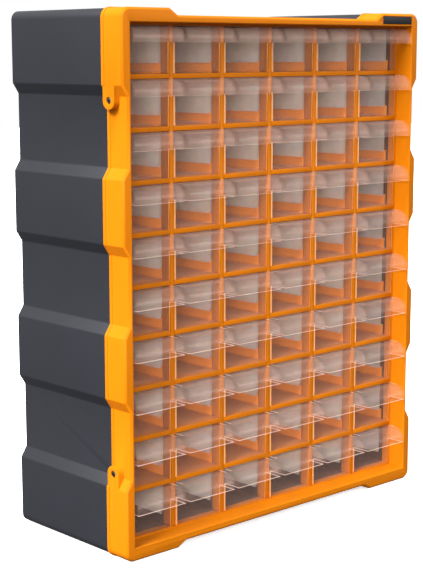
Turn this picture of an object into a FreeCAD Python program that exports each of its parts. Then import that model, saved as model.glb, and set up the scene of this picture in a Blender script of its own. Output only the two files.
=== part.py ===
import FreeCAD, Part
import math
import os

import Sketcher

# A parts bin cabinet: sixty clear drawers on orange shelves, in a moulded housing behind a moulded frame.
# Millimetres. X runs to the right, Y to the back and Z up, and the cabinet stands on Z = 0.

COLUMNS = 6
ROWS = 10
NOSE_FACETS = 3

SIZES = {
    # the grid of cells
    "cell_width": 56,
    "cell_height": 41,
    "bar_width": 4,
    "bar_depth": 12,
    "side_border": 10,
    "rail_border": 12.5,
    # the outline that the housing and the frame share
    "cabinet_depth": 158,
    "band_end": 64.3,
    "band_middle": 55.7,
    "band_slant": 9.3,
    "band_recess": 6,
    "top_band": 54,
    "foot_band": 61,
    "foot_rise": 5,
    "sole_margin": 2,
    "corner_round": 9,
    # the housing
    "housing_inset": 1,
    "housing_wall": 2.7,
    "housing_bevel": 2.5,
    "tongue_inset": 2.5,
    "tongue_length": 5.6,
    "guide_height": 10,
    "guide_shoulder": 4,
    "ledge_height": 4,
    "ledge_reach": 4,
    "keyhole_offset": 120,
    "keyhole_head_radius": 4.5,
    "keyhole_slot_radius": 2.2,
    "keyhole_slot_length": 10,
    # the front frame
    "frame_depth": 26.6,
    "frame_wall": 2.2,
    "frame_face": 2.5,
    "frame_bevel": 1.8,
    "mouth_round": 0.8,
    "mouth_wall": 1.8,
    "grid_recess": 18,
    "rim_width": 3.3,
    "rim_proud": 0.5,
    "core_margin": 5,
    # the screw tabs and their screws
    "tab_height": 77,
    "tab_set": 18,
    "tab_radius": 7.5,
    "tab_overlap": 6,
    "ear_half": 4.2,
    "stub_half": 3.4,
    "stub_reach": 3,
    "screw_hole_radius": 1.7,
    "screw_sink_radius": 3.2,
    "screw_sink_depth": 1.9,
    "pilot_radius": 1.3,
    "screw_radius": 1.5,
    "screw_head_radius": 2.8,
    "screw_head_height": 1.6,
    "screw_length": 5.6,
    # the shelves
    "shelf_plate": 2.5,
    # the badge plate
    "badge_width": 42.5,
    "badge_height": 7.8,
    "badge_thickness": 1,
    "badge_sink": 0.6,
    "badge_from_side": 11.25,
    # a drawer
    "drawer_depth": 130,
    "drawer_wall": 1.5,
    "drawer_face": 2,
    "hood_reach": 20,
    "hood_height": 14,
    "hood_wall": 1.6,
    "hood_round": 11,
    "stop_width": 18,
    "stop_catch": 0.8,
    # clearances and the length that cuts run past a face
    "fit_gap": 0.3,
    "side_gap": 0.5,
    "top_gap": 0.5,
    "slide_gap": 0.3,
    "overrun": 2,
}

# Places that several pieces share, as expressions on the sheet.
# In every body Y = 0 is the front plane of the frame.
PITCH_X = "(sizes.cell_width + sizes.bar_width)"
PITCH_Z = "(sizes.cell_height + sizes.bar_width)"
MOUTH_X = f"({COLUMNS} / 2 * {PITCH_X})"
CELL_X = f"({MOUTH_X} - sizes.bar_width / 2)"
HALF_WIDTH = f"({MOUTH_X} + sizes.side_border)"
HEIGHT = f"({ROWS} * {PITCH_Z} + 2 * sizes.rail_border)"
MOUTH_TOP = f"({HEIGHT} - sizes.rail_border)"
CELL_BOTTOM = "(sizes.rail_border + sizes.bar_width / 2)"
CELL_TOP = f"({MOUTH_TOP} - sizes.bar_width / 2)"
RECESS_X = f"({HALF_WIDTH} - sizes.band_recess)"
GRID_BACK = "(sizes.grid_recess + sizes.bar_depth)"
WALL_INSET = "(sizes.housing_inset + sizes.housing_wall)"
BACK_INSIDE = "(sizes.cabinet_depth - sizes.housing_wall)"
SHELF_X = f"({RECESS_X} - {WALL_INSET} - sizes.fit_gap)"
HOOD_PROUD = "(sizes.hood_reach - sizes.grid_recess)"
FRONT_Y = f"({HOOD_PROUD} - (sizes.cabinet_depth + {HOOD_PROUD}) / 2)"

doc = FreeCAD.newDocument("parts_bin_cabinet")
sheet = doc.addObject("Spreadsheet::Sheet", "sizes")
for row, (alias, value) in enumerate(SIZES.items(), start=1):
    sheet.set(f"A{row}", alias)
    sheet.set(f"B{row}", str(value))
    sheet.setAlias(f"B{row}", alias)
doc.recompute()


def shelf_level(row):
    """The height of the middle of the shelf under a row of drawers, counted from the top."""
    return f"(sizes.rail_border + {ROWS - row} * {PITCH_Z})"


def column_middle(column):
    """The X of the middle of a column, counted from the left."""
    return f"({column} * {PITCH_X} - {MOUTH_X} - {PITCH_X} / 2)"


def upright_middle(number):
    """The X of the middle of an upright, counted from the left."""
    return f"({number} * {PITCH_X} - {MOUTH_X})"


# Sketches: every corner, centre and radius is bound to an expression.

def new_body(name):
    body = doc.addObject("PartDesign::Body", name)
    body.Label = name
    return body


def new_sketch(body, name, plane, offset="0"):
    """A sketch on one of the body's own origin planes, moved along that plane's normal."""
    sketch = body.newObject("Sketcher::SketchObject", name)
    sides = [side for side in body.Origin.OriginFeatures if side.Role == plane]
    sketch.AttachmentSupport = (sides[0], [""])
    sketch.MapMode = "FlatFace"
    sketch.setExpression("AttachmentOffset.Base.z", offset)
    return sketch


def front_sketch(body, name, depth="0"):
    """A sketch seen from the front, at a depth behind the frame's front plane."""
    return new_sketch(body, name, "XZ_Plane", f"0 - {depth}")


def bind(sketch, kind, geometry, point, expression):
    value = float(sketch.evalExpression(expression))
    constraint = Sketcher.Constraint(kind, -1, 1, geometry, point, value)
    number = sketch.addConstraint(constraint)
    sketch.setExpression(f"Constraints[{number}]", expression)


def point_at(sketch, across, up):
    return FreeCAD.Vector(sketch.evalExpression(across), sketch.evalExpression(up), 0)


def arc_between(start, end, radius):
    """The arc that turns left on its way from start to end."""
    chord = end - start
    to_centre = FreeCAD.Vector(0 - chord.y, chord.x, 0).normalize()
    centre = (start + end) / 2 + to_centre * (radius**2 - (chord.Length / 2) ** 2) ** 0.5
    first = math.atan2(start.y - centre.y, start.x - centre.x)
    last = math.atan2(end.y - centre.y, end.x - centre.x)
    return Part.ArcOfCircle(Part.Circle(centre, FreeCAD.Vector(0, 0, 1), radius), first, last)


def add_loop(sketch, corners):
    """A closed outline through corners given as pairs of expressions.

    Two neighbours that carry the same radius as a third item are joined by an arc.
    """
    points = [point_at(sketch, corner[0], corner[1]) for corner in corners]
    radii = [corner[2] if len(corner) > 2 else None for corner in corners]
    sides = []
    for number, start in enumerate(points):
        following = (number + 1) % len(points)
        end = points[following]
        if radii[number] and radii[number] == radii[following]:
            radius = float(sketch.evalExpression(radii[number]))
            side = sketch.addGeometry(arc_between(start, end, radius), False)
            fixed = sketch.addConstraint(Sketcher.Constraint("Radius", side, radius))
            sketch.setExpression(f"Constraints[{fixed}]", radii[number])
        else:
            side = sketch.addGeometry(Part.LineSegment(start, end), False)
        sides.append(side)
    for side, following in zip(sides, sides[1:] + sides[:1]):
        sketch.addConstraint(Sketcher.Constraint("Coincident", side, 2, following, 1))
    for side, corner in zip(sides, corners):
        bind(sketch, "DistanceX", side, 1, corner[0])
        bind(sketch, "DistanceY", side, 1, corner[1])


def add_box(sketch, left, right, low, high):
    add_loop(sketch, [(left, low), (right, low), (right, high), (left, high)])


def add_circle(sketch, across, up, radius):
    centre = point_at(sketch, across, up)
    size = float(sketch.evalExpression(radius))
    circle = sketch.addGeometry(Part.Circle(centre, FreeCAD.Vector(0, 0, 1), size), False)
    bind(sketch, "DistanceX", circle, 3, across)
    bind(sketch, "DistanceY", circle, 3, up)
    number = sketch.addConstraint(Sketcher.Constraint("Radius", circle, size))
    sketch.setExpression(f"Constraints[{number}]", radius)


# Features.

def extrude(body, kind, name, sketch, length, reverse=False, both_ways=False):
    feature = body.newObject(f"PartDesign::{kind}", name)
    feature.Profile = sketch
    feature.Reversed = reverse
    feature.setExpression("Length", length)
    if both_ways:
        feature.SideType = "Symmetric"
    doc.recompute()
    return feature


def pad(body, name, sketch, length, reverse=False, both_ways=False):
    return extrude(body, "Pad", name, sketch, length, reverse, both_ways)


def pocket(body, name, sketch, length, reverse=False, both_ways=False):
    before = body.Shape.Volume
    feature = extrude(body, "Pocket", name, sketch, length, reverse, both_ways)
    if not body.Shape.Volume < before:
        raise RuntimeError(f"{name} cuts nothing")
    return feature


def repeat(body, name, feature, axis, step, count):
    """Copies of a feature along one of the body's axes, all the same step apart."""
    pattern = body.newObject("PartDesign::LinearPattern", name)
    pattern.Originals = [feature]
    axes = [line for line in body.Origin.OriginFeatures if line.Role == axis]
    pattern.Direction = (axes[0], [""])
    pattern.Occurrences = count
    pattern.setExpression("Length", f"{count - 1} * {step}")
    body.Tip = pattern
    doc.recompute()
    return pattern


def dress_edges(body, kind, name, wanted):
    """A fillet or chamfer on the edges of the body so far for which wanted(edge) is true."""
    base = body.Tip
    names = []
    for number, edge in enumerate(base.Shape.Edges, start=1):
        if wanted(edge):
            names.append(f"Edge{number}")
    feature = body.newObject(f"PartDesign::{kind}", name)
    feature.Base = (base, names)
    return feature


def fillet(body, name, radius, wanted):
    feature = dress_edges(body, "Fillet", name, wanted)
    feature.setExpression("Radius", radius)
    doc.recompute()


def chamfer(body, name, size, wanted):
    feature = dress_edges(body, "Chamfer", name, wanted)
    feature.setExpression("Size", size)
    doc.recompute()


# Finding edges by their place.

TOLERANCE = 1e-4


def value_of(expression):
    return float(sheet.evalExpression(expression))


def near(first, second):
    return abs(first - second) < TOLERANCE


def lies_at(edge, depth):
    """Whether the whole edge lies at one depth behind the front plane."""
    box = edge.BoundBox
    return near(box.YMin, depth) and near(box.YMax, depth)


# The outline: bands and recesses down both sides, raised ends at the top and feet below.

def side_levels():
    """Heights of each recess on a side: its outer and inner edges, from the foot up."""
    recess = (
        f"(({HEIGHT} - 2 * sizes.band_end - 2 * sizes.band_middle) / 3"
        " - 2 * sizes.band_slant)"
    )
    levels = []
    height = "sizes.band_end"
    for _ in range(3):
        inner_low = f"{height} + sizes.band_slant"
        inner_high = f"{inner_low} + {recess}"
        outer_high = f"{inner_high} + sizes.band_slant"
        levels.append((height, inner_low, inner_high, outer_high))
        height = f"{outer_high} + sizes.band_middle"
    return levels


def outline(inset):
    """All corners of the outline moved inwards by an inset, from the lower right foot and up."""
    radius = f"(sizes.corner_round - {inset})"
    band_x = f"({HALF_WIDTH} - {inset})"
    recess_x = f"({HALF_WIDTH} - sizes.band_recess - {inset})"
    top = f"({HEIGHT} - {inset})"
    top_x = f"({HALF_WIDTH} - sizes.top_band)"
    foot_x = f"({HALF_WIDTH} - sizes.foot_band)"
    rise = f"(sizes.foot_rise + {inset})"
    right = [
        (f"({foot_x} - sizes.band_slant)", rise),
        (foot_x, inset),
        (f"({band_x} - {radius})", inset, radius),
        (band_x, f"({inset} + {radius})", radius),
    ]
    for outer_low, inner_low, inner_high, outer_high in side_levels():
        right.append((band_x, outer_low))
        right.append((recess_x, inner_low))
        right.append((recess_x, inner_high))
        right.append((band_x, outer_high))
    right += [
        (band_x, f"({top} - {radius})", radius),
        (f"({band_x} - {radius})", top, radius),
        (top_x, top),
        (f"({top_x} - sizes.band_slant)", f"({top} - sizes.band_recess)"),
    ]
    left = [(f"0 - {corner[0]}", *corner[1:]) for corner in reversed(right)]
    return right + left


def bevel_rim(body, name, size, depth):
    """Bevel the whole outer edge at one depth."""
    chamfer(body, name, size, lambda edge: lies_at(edge, value_of(depth)))


# The housing.

housing = new_body("housing")
SHELL_INSET = "sizes.housing_inset"

# The core's front end is the tongue that the frame's skirt closes over.
TONGUE_FRONT = "(sizes.frame_depth - sizes.tongue_length)"
profile = front_sketch(housing, "core_outline", TONGUE_FRONT)
add_loop(profile, outline("sizes.tongue_inset"))
pad(housing, "core", profile, f"sizes.cabinet_depth - {TONGUE_FRONT}", reverse=True)

profile = front_sketch(housing, "shell_outline", "sizes.frame_depth")
add_loop(profile, outline(SHELL_INSET))
pad(housing, "shell", profile, "sizes.cabinet_depth - sizes.frame_depth", reverse=True)
bevel_rim(housing, "shell_back_edge", "sizes.housing_bevel", "sizes.cabinet_depth")

profile = front_sketch(housing, "hollow_outline", TONGUE_FRONT)
add_loop(profile, outline(WALL_INSET))
pocket(housing, "hollow", profile, f"{BACK_INSIDE} - {TONGUE_FRONT}")

# A flat sole under each foot, level with the frame's rim.
profile = new_sketch(housing, "soles_outline", "XY_Plane")
sole_in = f"({HALF_WIDTH} - sizes.foot_band + sizes.sole_margin)"
sole_out = f"({HALF_WIDTH} - sizes.corner_round - sizes.sole_margin)"
sole_front = "sizes.frame_depth + sizes.sole_margin"
sole_back = "sizes.cabinet_depth - sizes.housing_bevel - sizes.sole_margin"
add_box(profile, sole_in, sole_out, sole_front, sole_back)
add_box(profile, f"0 - {sole_out}", f"0 - {sole_in}", sole_front, sole_back)
pad(housing, "soles", profile, "sizes.housing_inset + sizes.housing_wall / 2")

# Guide rails under the bottom row: shoulders carry the drawers and a fin keeps them apart.
RAIL_FRONT = f"({GRID_BACK} + sizes.fit_gap)"
RAIL_LENGTH = f"({BACK_INSIDE} + sizes.housing_wall / 2 - {RAIL_FRONT})"
FIN_HALF = "sizes.bar_width / 2"
SHOULDER = "(sizes.bar_width / 2 + sizes.guide_shoulder)"
FIN_TOP = f"{CELL_BOTTOM} + sizes.guide_height"
middle_base = "sizes.foot_rise + sizes.housing_inset + sizes.housing_wall / 2"
profile = front_sketch(housing, "middle_rail_outline", RAIL_FRONT)
middle = upright_middle(1)
add_loop(profile, [
    (f"{middle} - {SHOULDER}", middle_base),
    (f"{middle} + {SHOULDER}", middle_base),
    (f"{middle} + {SHOULDER}", CELL_BOTTOM),
    (f"{middle} + {FIN_HALF}", CELL_BOTTOM),
    (f"{middle} + {FIN_HALF}", FIN_TOP),
    (f"{middle} - {FIN_HALF}", FIN_TOP),
    (f"{middle} - {FIN_HALF}", CELL_BOTTOM),
    (f"{middle} - {SHOULDER}", CELL_BOTTOM),
])
rail = pad(housing, "middle_rail", profile, RAIL_LENGTH, reverse=True)
repeat(housing, "middle_rails", rail, "X_Axis", PITCH_X, COLUMNS - 1)

end_base = "sizes.housing_inset + sizes.housing_wall / 2"
profile = front_sketch(housing, "end_rails_outline", RAIL_FRONT)
for sign in ("", "0 - "):
    add_loop(profile, [
        (f"{sign}({CELL_X} - sizes.guide_shoulder)", end_base),
        (f"{sign}{SHELF_X}", end_base),
        (f"{sign}{SHELF_X}", FIN_TOP),
        (f"{sign}{CELL_X}", FIN_TOP),
        (f"{sign}{CELL_X}", CELL_BOTTOM),
        (f"{sign}({CELL_X} - sizes.guide_shoulder)", CELL_BOTTOM),
    ])
pad(housing, "end_rails", profile, RAIL_LENGTH, reverse=True)

# Ledges on the back wall, one under the back edge of each shelf.
PLATE_DROP = "(sizes.shelf_plate - sizes.bar_width / 2)"
profile = front_sketch(housing, "ledge_outline", f"({BACK_INSIDE} - sizes.ledge_reach)")
ledge_top = f"({shelf_level(ROWS - 1)} - {PLATE_DROP} - sizes.fit_gap)"
ledge_end = f"({CELL_X} - sizes.guide_shoulder)"
add_box(profile, f"0 - {ledge_end}", ledge_end, f"{ledge_top} - sizes.ledge_height", ledge_top)
LEDGE_DEPTH = "sizes.ledge_reach + sizes.housing_wall / 2"
ledge = pad(housing, "ledge", profile, LEDGE_DEPTH, reverse=True)
repeat(housing, "ledges", ledge, "Z_Axis", PITCH_Z, ROWS - 1)

# Keyholes in the back, behind the second row, to hang the cabinet on two screws.
KEYHOLE_Z = f"({shelf_level(2)} + {PITCH_Z} / 2)"
KEYHOLE_END = f"({KEYHOLE_Z} + sizes.keyhole_slot_length)"
CUT_DEPTH = "sizes.housing_wall + sizes.overrun"
heads = front_sketch(housing, "keyhole_heads", BACK_INSIDE)
slots = front_sketch(housing, "keyhole_slots", BACK_INSIDE)
ends = front_sketch(housing, "keyhole_ends", BACK_INSIDE)
for across in ("sizes.keyhole_offset", "0 - sizes.keyhole_offset"):
    left = f"{across} - sizes.keyhole_slot_radius"
    right = f"{across} + sizes.keyhole_slot_radius"
    add_circle(heads, across, KEYHOLE_Z, "sizes.keyhole_head_radius")
    add_box(slots, left, right, KEYHOLE_Z, KEYHOLE_END)
    add_circle(ends, across, KEYHOLE_END, "sizes.keyhole_slot_radius")
pocket(housing, "keyhole_head_cut", heads, CUT_DEPTH)
pocket(housing, "keyhole_slot_cut", slots, CUT_DEPTH)
pocket(housing, "keyhole_end_cut", ends, CUT_DEPTH)

# Ears that reach into the frame's tabs, each with a stub that takes a screw.
TAB_LEVELS = ("sizes.tab_height", f"({HEIGHT} - sizes.tab_height)")
SHELL_X = f"({RECESS_X} - sizes.housing_inset)"
TONGUE_X = f"({RECESS_X} - sizes.tongue_inset)"
STUB_X = f"({SHELL_X} + sizes.stub_reach)"
EAR_FRONT = "(sizes.tab_set - sizes.ear_half)"
for side, sign in (("right", ""), ("left", "0 - ")):
    outwards = side == "right"
    ears = new_sketch(housing, f"{side}_ears_outline", "YZ_Plane", f"{sign}{TONGUE_X}")
    stubs = new_sketch(housing, f"{side}_stubs_outline", "YZ_Plane", f"{sign}{TONGUE_X}")
    pilots = new_sketch(housing, f"{side}_pilots_outline", "YZ_Plane", f"{sign}{STUB_X}")
    for level in TAB_LEVELS:
        ear_back = "sizes.frame_depth + sizes.overrun"
        add_box(ears, EAR_FRONT, ear_back, f"{level} - sizes.ear_half", f"{level} + sizes.ear_half")
        stub_front = "sizes.tab_set - sizes.stub_half"
        stub_back = "sizes.tab_set + sizes.stub_half"
        add_box(stubs, stub_front, stub_back, f"{level} - sizes.stub_half", f"{level} + sizes.stub_half")
        add_circle(pilots, "sizes.tab_set", level, "sizes.pilot_radius")
    pad(housing, f"{side}_ears", ears, f"{SHELL_X} - {TONGUE_X}", reverse=not outwards)
    pad(housing, f"{side}_stubs", stubs, f"{STUB_X} - {TONGUE_X}", reverse=not outwards)
    pilot_depth = f"{STUB_X} - {TONGUE_X} + sizes.fit_gap"
    pocket(housing, f"{side}_pilots", pilots, pilot_depth, reverse=not outwards)


# The front frame.

front_frame = new_body("front_frame")

profile = front_sketch(front_frame, "skirt_outline")
add_loop(profile, outline("sizes.rim_proud"))
pad(front_frame, "skirt", profile, "sizes.frame_depth", reverse=True)
bevel_rim(front_frame, "skirt_front_edge", "sizes.frame_bevel", "0")

# The raised rim along the skirt's back edge.
profile = front_sketch(front_frame, "rim_outline", "(sizes.frame_depth - sizes.rim_width)")
add_loop(profile, outline("0"))
pad(front_frame, "rim", profile, "sizes.rim_width", reverse=True)

# Screw tabs that carry the bands' face on over the ends of the recesses.
TAB_SPAN = f"2 * ({HALF_WIDTH} - sizes.rim_proud)"
boxes = new_sketch(front_frame, "tab_arms", "YZ_Plane")
rounds = new_sketch(front_frame, "tab_rounds", "YZ_Plane")
low, high = TAB_LEVELS
tab_front = "sizes.tab_set - sizes.tab_radius"
tab_back = "sizes.tab_set + sizes.tab_radius"
overlap = "(sizes.band_end - sizes.tab_overlap)"
add_box(boxes, tab_front, tab_back, overlap, low)
add_box(boxes, tab_front, tab_back, high, f"{HEIGHT} - {overlap}")
add_circle(rounds, "sizes.tab_set", low, "sizes.tab_radius")
add_circle(rounds, "sizes.tab_set", high, "sizes.tab_radius")
pad(front_frame, "tab_arm_blocks", boxes, TAB_SPAN, both_ways=True)
pad(front_frame, "tab_round_blocks", rounds, TAB_SPAN, both_ways=True)

# The mouth in front of the grid, and behind it the step that borders the outer cells.
profile = front_sketch(front_frame, "mouth_outline")
add_box(profile, f"0 - {MOUTH_X}", MOUTH_X, "sizes.rail_border", MOUTH_TOP)
pocket(front_frame, "mouth", profile, "sizes.grid_recess")


def borders_mouth(edge):
    """Whether an edge is one of the four around the front of the mouth."""
    middle = edge.CenterOfMass
    at_side = near(abs(middle.x), value_of(MOUTH_X))
    at_end = near(middle.z, value_of("sizes.rail_border")) or near(middle.z, value_of(MOUTH_TOP))
    return lies_at(edge, 0) and (at_side or at_end)


fillet(front_frame, "mouth_edge", "sizes.mouth_round", borders_mouth)
profile = front_sketch(front_frame, "cells_outline")
add_box(profile, f"0 - {CELL_X}", CELL_X, CELL_BOTTOM, CELL_TOP)
pocket(front_frame, "cells_opening", profile, "sizes.frame_depth")

# The groove that takes the housing's tongue.
profile = front_sketch(front_frame, "groove_outline", "sizes.frame_depth")
add_loop(profile, outline("sizes.frame_wall"))
wall_x = f"({CELL_X} + sizes.mouth_wall)"
add_box(
    profile,
    f"0 - {wall_x}",
    wall_x,
    f"{CELL_BOTTOM} - sizes.mouth_wall",
    f"{CELL_TOP} + sizes.mouth_wall",
)
GROOVE_DEPTH = "sizes.tongue_length + sizes.fit_gap"
pocket(front_frame, "groove", profile, GROOVE_DEPTH, reverse=True)

# Hollows behind the face, in the bands of both sides.
profile = front_sketch(front_frame, "side_hollows_outline", "sizes.frame_depth")
first, second, third = side_levels()
band_spans = (
    ("sizes.rail_border", first[0]),
    (first[3], second[0]),
    (second[3], third[0]),
    (third[3], MOUTH_TOP),
)
inner_x = f"({MOUTH_X} + sizes.mouth_wall)"
outer_x = f"({HALF_WIDTH} - sizes.frame_wall)"
for start, end in band_spans:
    bottom = f"{start} + sizes.core_margin"
    top = f"{end} - sizes.core_margin"
    add_box(profile, inner_x, outer_x, bottom, top)
    add_box(profile, f"0 - {outer_x}", f"0 - {inner_x}", bottom, top)
HOLLOW = "sizes.frame_depth - sizes.frame_face"
pocket(front_frame, "side_hollows", profile, HOLLOW, reverse=True)

# In each tab a pocket, open to the back, for the housing's ear and its stub.
for side, sign in (("right", ""), ("left", "0 - ")):
    outwards = side == "right"
    hollow_x = f"({TONGUE_X} - sizes.fit_gap)"
    ears = new_sketch(front_frame, f"{side}_ear_slots", "YZ_Plane", f"{sign}{hollow_x}")
    stubs = new_sketch(front_frame, f"{side}_stub_slots", "YZ_Plane", f"{sign}{hollow_x}")
    holes = new_sketch(front_frame, f"{side}_hole_circles", "YZ_Plane", f"{sign}{HALF_WIDTH}")
    sinks = new_sketch(front_frame, f"{side}_sink_circles", "YZ_Plane", f"{sign}{HALF_WIDTH}")
    ear = "(sizes.ear_half + sizes.fit_gap)"
    stub = "(sizes.stub_half + sizes.fit_gap)"
    back = "sizes.frame_depth + sizes.overrun"
    for level in TAB_LEVELS:
        add_box(ears, f"sizes.tab_set - {ear}", back, f"{level} - {ear}", f"{level} + {ear}")
        add_box(stubs, f"sizes.tab_set - {stub}", back, f"{level} - {stub}", f"{level} + {stub}")
        add_circle(holes, "sizes.tab_set", level, "sizes.screw_hole_radius")
        add_circle(sinks, "sizes.tab_set", level, "sizes.screw_sink_radius")
    ear_depth = f"{SHELL_X} + sizes.fit_gap - {hollow_x}"
    stub_depth = f"{STUB_X} + sizes.fit_gap - {hollow_x}"
    hole_depth = f"{HALF_WIDTH} - {STUB_X}"
    sink_depth = "sizes.rim_proud + sizes.screw_sink_depth"
    pocket(front_frame, f"{side}_ear_pockets", ears, ear_depth, reverse=outwards)
    pocket(front_frame, f"{side}_stub_pockets", stubs, stub_depth, reverse=outwards)
    pocket(front_frame, f"{side}_screw_holes", holes, hole_depth, reverse=not outwards)
    pocket(front_frame, f"{side}_screw_sinks", sinks, sink_depth, reverse=not outwards)

# A shallow seat for the badge plate at the right of the top rail.
BADGE_RIGHT = f"({HALF_WIDTH} - sizes.badge_from_side)"
BADGE_LEFT = f"({BADGE_RIGHT} - sizes.badge_width)"
BADGE_MIDDLE = f"(({MOUTH_TOP} + sizes.mouth_round + {HEIGHT} - sizes.rim_proud - sizes.frame_bevel) / 2)"
seat = front_sketch(front_frame, "badge_seat_outline")
badge_low = f"{BADGE_MIDDLE} - sizes.badge_height / 2"
badge_high = f"{BADGE_MIDDLE} + sizes.badge_height / 2"
add_box(seat, BADGE_LEFT, BADGE_RIGHT, badge_low, badge_high)
pocket(front_frame, "badge_seat", seat, "sizes.badge_sink")


# The badge plate, bare.

badge_plate = new_body("badge_plate")
profile = front_sketch(badge_plate, "plate_outline", "sizes.badge_sink")
add_box(
    profile,
    f"{BADGE_LEFT} + sizes.fit_gap",
    f"{BADGE_RIGHT} - sizes.fit_gap",
    f"{badge_low} + sizes.fit_gap",
    f"{badge_high} - sizes.fit_gap",
)
pad(badge_plate, "plate", profile, "sizes.badge_thickness")


# A shelf: a thin plate with a thick front bar and low guide ribs between the columns.

shelf = new_body("shelf")
BAR_HALF = "(sizes.bar_width / 2)"
PLATE_BACK = f"({BACK_INSIDE} - sizes.fit_gap)"
profile = new_sketch(shelf, "shelf_profile", "YZ_Plane")
add_loop(profile, [
    ("sizes.grid_recess", f"0 - {BAR_HALF}"),
    (GRID_BACK, f"0 - {BAR_HALF}"),
    (GRID_BACK, f"0 - {PLATE_DROP}"),
    (PLATE_BACK, f"0 - {PLATE_DROP}"),
    (PLATE_BACK, BAR_HALF),
    ("sizes.grid_recess", BAR_HALF),
])
pad(shelf, "shelf_plate", profile, f"2 * {SHELF_X}", both_ways=True)

# The bar is narrower than the plate, to fit between the frame's walls.
THROUGH = "2 * sizes.bar_width"
profile = new_sketch(shelf, "front_corners_outline", "XY_Plane", BAR_HALF)
corner_front = "sizes.grid_recess - sizes.overrun"
corner_back = "sizes.frame_depth + sizes.fit_gap"
corner_in = f"({CELL_X} - sizes.fit_gap)"
corner_out = f"({SHELF_X} + sizes.overrun)"
add_box(profile, corner_in, corner_out, corner_front, f"{GRID_BACK} + sizes.fit_gap")
add_box(profile, f"0 - {corner_out}", f"0 - {corner_in}", corner_front, f"{GRID_BACK} + sizes.fit_gap")
pocket(shelf, "front_corners", profile, THROUGH)

# Notches for the uprights: each piece gives up half of the bar's depth where they cross.
HALVING = "(sizes.grid_recess + sizes.bar_depth / 2)"
NOTCH_HALF = f"({BAR_HALF} + sizes.fit_gap)"
profile = new_sketch(shelf, "notch_outline", "XY_Plane", BAR_HALF)
middle = upright_middle(1)
add_box(profile, f"{middle} - {NOTCH_HALF}", f"{middle} + {NOTCH_HALF}", corner_front, HALVING)
notch = pocket(shelf, "notch", profile, THROUGH)
repeat(shelf, "notches", notch, "X_Axis", PITCH_X, COLUMNS - 1)

profile = new_sketch(shelf, "rib_outline", "XY_Plane", BAR_HALF)
add_box(profile, f"{middle} - {BAR_HALF}", f"{middle} + {BAR_HALF}", RAIL_FRONT, PLATE_BACK)
rib = pad(shelf, "rib", profile, "sizes.guide_height")
repeat(shelf, "ribs", rib, "X_Axis", PITCH_X, COLUMNS - 1)
profile = new_sketch(shelf, "end_ribs_outline", "XY_Plane", BAR_HALF)
add_box(profile, CELL_X, SHELF_X, RAIL_FRONT, PLATE_BACK)
add_box(profile, f"0 - {SHELF_X}", f"0 - {CELL_X}", RAIL_FRONT, PLATE_BACK)
pad(shelf, "end_ribs", profile, "sizes.guide_height")


# An upright of the grid, notched from behind for every shelf.

upright = new_body("upright")
profile = front_sketch(upright, "upright_outline", "sizes.grid_recess")
upright_low = f"{CELL_BOTTOM} + sizes.fit_gap"
upright_high = f"{CELL_TOP} - sizes.fit_gap"
add_box(profile, f"0 - {BAR_HALF}", BAR_HALF, upright_low, upright_high)
pad(upright, "upright_bar", profile, "sizes.bar_depth", reverse=True)
profile = new_sketch(upright, "shelf_notch_outline", "YZ_Plane")
level = shelf_level(ROWS - 1)
notch_front = f"{HALVING} - sizes.fit_gap"
notch_back = f"{GRID_BACK} + sizes.overrun"
add_box(profile, notch_front, notch_back, f"{level} - {NOTCH_HALF}", f"{level} + {NOTCH_HALF}")
notch = pocket(upright, "shelf_notch", profile, THROUGH, both_ways=True)
repeat(upright, "shelf_notches", notch, "Z_Axis", PITCH_Z, ROWS - 1)


# A frame screw, drawn along X with the underside of its head at the origin.

screw = new_body("screw")
profile = new_sketch(screw, "screw_head_circle", "YZ_Plane")
add_circle(profile, "0", "0", "sizes.screw_head_radius")
pad(screw, "screw_head", profile, "sizes.screw_head_height")
profile = new_sketch(screw, "screw_shank_circle", "YZ_Plane")
add_circle(profile, "0", "0", "sizes.screw_radius")
pad(screw, "screw_shank", profile, "sizes.screw_length", reverse=True)


# A drawer, with the outer face of its front at Y = 0 and its bottom at Z = 0.

drawer = new_body("drawer")
DRAWER_HALF = "(sizes.cell_width / 2 - sizes.side_gap)"
DRAWER_HEIGHT = "(sizes.cell_height - sizes.slide_gap - sizes.top_gap)"
HOOD_BOTTOM = f"({DRAWER_HEIGHT} - sizes.hood_height)"

profile = new_sketch(drawer, "tray_outline", "XY_Plane")
add_box(profile, f"0 - {DRAWER_HALF}", DRAWER_HALF, "0", "sizes.drawer_depth")
pad(drawer, "tray", profile, DRAWER_HEIGHT)

# The hood that a finger pulls: a block hollowed from below, its nose rounded in flat facets.
def nose_points(radius, middle_y, middle_z):
    """Corners of a quarter round in equal facets, from its top to its front."""
    points = []
    for step in range(NOSE_FACETS + 1):
        turn = f"{step} * 90 deg / {NOSE_FACETS}"
        points.append((f"{middle_y} - {radius} * sin({turn})", f"{middle_z} + {radius} * cos({turn})"))
    return points


NOSE_Y = "(sizes.hood_round - sizes.hood_reach)"
NOSE_Z = f"({DRAWER_HEIGHT} - sizes.hood_round)"
profile = new_sketch(drawer, "hood_outline", "YZ_Plane")
add_loop(profile, [
    ("0 - sizes.hood_reach", HOOD_BOTTOM),
    ("0", HOOD_BOTTOM),
    ("0", DRAWER_HEIGHT),
    *nose_points("sizes.hood_round", NOSE_Y, NOSE_Z),
])
pad(drawer, "hood", profile, f"2 * {DRAWER_HALF}", both_ways=True)

profile = new_sketch(drawer, "hood_hollow_outline", "YZ_Plane")
hollow_low = f"({HOOD_BOTTOM} - sizes.overrun)"
add_loop(profile, [
    ("sizes.hood_wall - sizes.hood_reach", hollow_low),
    ("0", hollow_low),
    ("0", f"{DRAWER_HEIGHT} - sizes.hood_wall"),
    *nose_points("(sizes.hood_round - sizes.hood_wall)", NOSE_Y, NOSE_Z),
])
hollow_width = f"2 * ({DRAWER_HALF} - sizes.hood_wall)"
pocket(drawer, "hood_hollow", profile, hollow_width, both_ways=True)

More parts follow.
